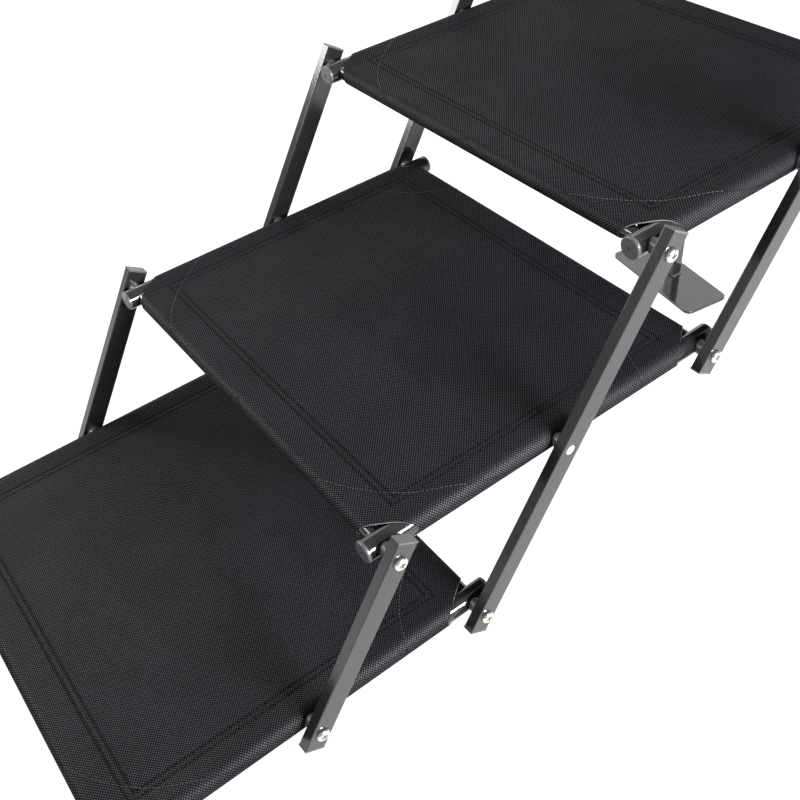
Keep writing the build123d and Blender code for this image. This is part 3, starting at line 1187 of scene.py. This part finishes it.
@dataclass
class Finishes:
    """All materials, by the record's slots for the frame's own nodes."""

    def __post_init__(self) -> None:
        """Build each material once."""
        shape = TreadCloth(1)
        metal = GlossPaint("gloss_tube").make()
        bar = GlossPaint("gloss_bar", tone=(0.012, 0.012, 0.013), roughness=0.11).make()
        plate = GlossPaint("gloss_plate", tone=(0.012, 0.013, 0.012), roughness=0.08).make()
        self.cloth = WovenCloth("woven_cloth").make(
            shape.patch, shape.rail_x, shape.half_length, shape.side_rows, shape.end_rows
        )
        self.cut_edge = Moulded("cloth_cut_edge", (0.11, 0.11, 0.115), roughness=0.6).make()
        self.thread = TwistedThread("row_thread", (0.009, 0.0088, 0.0096)).make()
        self.patch_thread = TwistedThread("patch_thread", (0.05, 0.049, 0.053)).make()
        self.by_slot = {
            "frame_tube": metal,
            "link_bar": bar,
            "foot_plate": plate,
            "plastic_cap": Moulded("satin_cap", (0.05, 0.05, 0.053), roughness=0.3).make(),
            "spacer": Moulded("nylon_spacer", (0.07, 0.07, 0.078), roughness=0.28).make(),
            "insert": BrightSteel("turned_insert", (0.5, 0.5, 0.5), roughness=0.3).make(),
            "screw": BrightSteel("plated_screw").make(),
            "rubber_foot": Moulded(
                "rubber_foot", (0.016, 0.016, 0.016), roughness=0.7, grain=0.00008
            ).make(),
            "tread_fabric": self.cloth,
        }


@dataclass
class Hardware:
    """The tubes, bars, plugs and screws of the frame, each dressed in its slot's finish."""

    nodes: dict
    slots: dict

    def dress(self, finishes: Finishes) -> None:
        """Give each node's material slots the finish of its slot in the record.

        Args:
            finishes: the shared materials.
        """
        for name, piece in self.nodes.items():
            material = finishes.by_slot[self.slots[name]]
            for slot in piece.material_slots:
                slot.material = material
            LOG.info("%s dressed as %s", name, material.name)


@dataclass(frozen=True)
class Lamp:
    """One rectangular soft lamp: its centre, its width and height, and its brightness.

    Lengths are in metres. The brightness is 1 where the lamp looks like white paper in full light.
    """

    name: str
    place: tuple
    size: tuple
    glow: float


@dataclass
class Studio:
    """Pale floor, soft light and the photograph's camera.

    Angles are in degrees, the lens and the sensor in millimetres, and other lengths in metres.
    """

    lamps: tuple = (
        Lamp("softbox_right", (1.73, 0.3, 0.9), (0.9, 0.42), 121.0),
        Lamp("softbox_left", (-1.45, -1.2, 1.25), (1.2, 1.1), 12.0),
        Lamp("window_left", (-2.2, 0.6, 1.05), (1.8, 1.9), 1.2),
        Lamp("window_back", (-1.2, 2.1, 1.2), (1.8, 1.8), 1.5),
    )
    aim: tuple = (0, 0, 0.2)
    floor_size: float = 14.0
    floor_tone: float = 0.2
    floor_glow: float = 0.93
    sky_glow: float = 0.5
    camera_place: tuple = (0.59912, -0.53127, 0.74099)
    azimuth: float = 56.982
    elevation: float = 43.454
    roll: float = -5.796
    lens: float = 43.708
    sensor: float = 36.0
    clip_start: float = 0.02

    def build(self) -> None:
        """Make the floor, the sky, the lamps and the camera."""
        self._floor()
        self._sky()
        for lamp in self.lamps:
            self._lamp(lamp)
        self._camera()
        bpy.context.scene.view_settings.view_transform = "Standard"

    def _floor(self) -> None:
        """Flat pale floor that glows, as a backlit studio table does."""
        half = self.floor_size / 2
        corners = np.array([[-half, -half, 0], [half, -half, 0], [half, half, 0], [-half, half, 0]])
        floor = mesh_piece("studio_floor", corners, np.array([[0, 1, 2, 3]]))
        shader = Shader("pale_floor")
        shader.base(
            Base_Color=(self.floor_tone, self.floor_tone, self.floor_tone, 1),
            Roughness=1.0,
            Emission_Color=(1, 1, 1, 1),
            Emission_Strength=self.floor_glow,
            Specular_IOR_Level=0.0,
        )
        floor.data.materials.append(shader.material)

    def _sky(self) -> None:
        """Dim even light from all round."""
        world = bpy.data.worlds.new("studio_sky")
        bpy.context.scene.world = world
        world.use_nodes = True
        background = world.node_tree.nodes["Background"]
        background.inputs["Color"].default_value = (1, 1, 1, 1)
        background.inputs["Strength"].default_value = self.sky_glow

    def _lamp(self, plan: Lamp) -> None:
        """Add a lamp that faces the stairs and stays out of sight itself.

        Its power is its brightness times its area times pi.

        Args:
            plan: what the lamp is like.
        """
        light = bpy.data.lights.new(plan.name, "AREA")
        light.shape = "RECTANGLE"
        light.size, light.size_y = plan.size
        light.energy = plan.glow * plan.size[0] * plan.size[1] * pi
        lamp = bpy.data.objects.new(plan.name, light)
        lamp.visible_camera = False
        lamp.location = plan.place
        lamp.rotation_mode = "QUATERNION"
        lamp.rotation_quaternion = (Vector(self.aim) - Vector(plan.place)).to_track_quat("-Z", "Y")
        bpy.context.scene.collection.objects.link(lamp)

    def _camera(self) -> None:
        """Stand the camera where the photograph was taken from.

        Its back axis has the azimuth and elevation, and it is rolled about that axis.
        """
        turn, lift = radians(self.azimuth), radians(self.elevation)
        back = Vector((sin(turn) * cos(lift), -cos(turn) * cos(lift), sin(lift)))
        right = Vector((cos(turn), sin(turn), 0))
        rolled = Matrix.Rotation(radians(self.roll), 3, back) @ right
        up = back.cross(rolled)
        data = bpy.data.cameras.new("camera")
        data.lens = self.lens
        data.sensor_width = self.sensor
        data.clip_start = self.clip_start
        camera = bpy.data.objects.new("camera", data)
        camera.matrix_world = Matrix((rolled, up, back)).transposed().to_4x4()
        camera.location = self.camera_place
        bpy.context.scene.collection.objects.link(camera)
        bpy.context.scene.camera = camera


def main(frame: dict) -> None:
    """Dress the loaded frame.
    """
    logging.basicConfig(level=logging.INFO, format="%(name)s: %(message)s")
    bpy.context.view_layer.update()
    finishes = Finishes()
    slots = {part["node"]: part["material_slot"] for part in frame["record"]["subparts"]}
    Hardware(frame["nodes"], slots).dress(finishes)
    for step in STEPS:
        Tread(step).build(finishes)
    Studio().build()


if __name__ == "__main__":
    main(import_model())
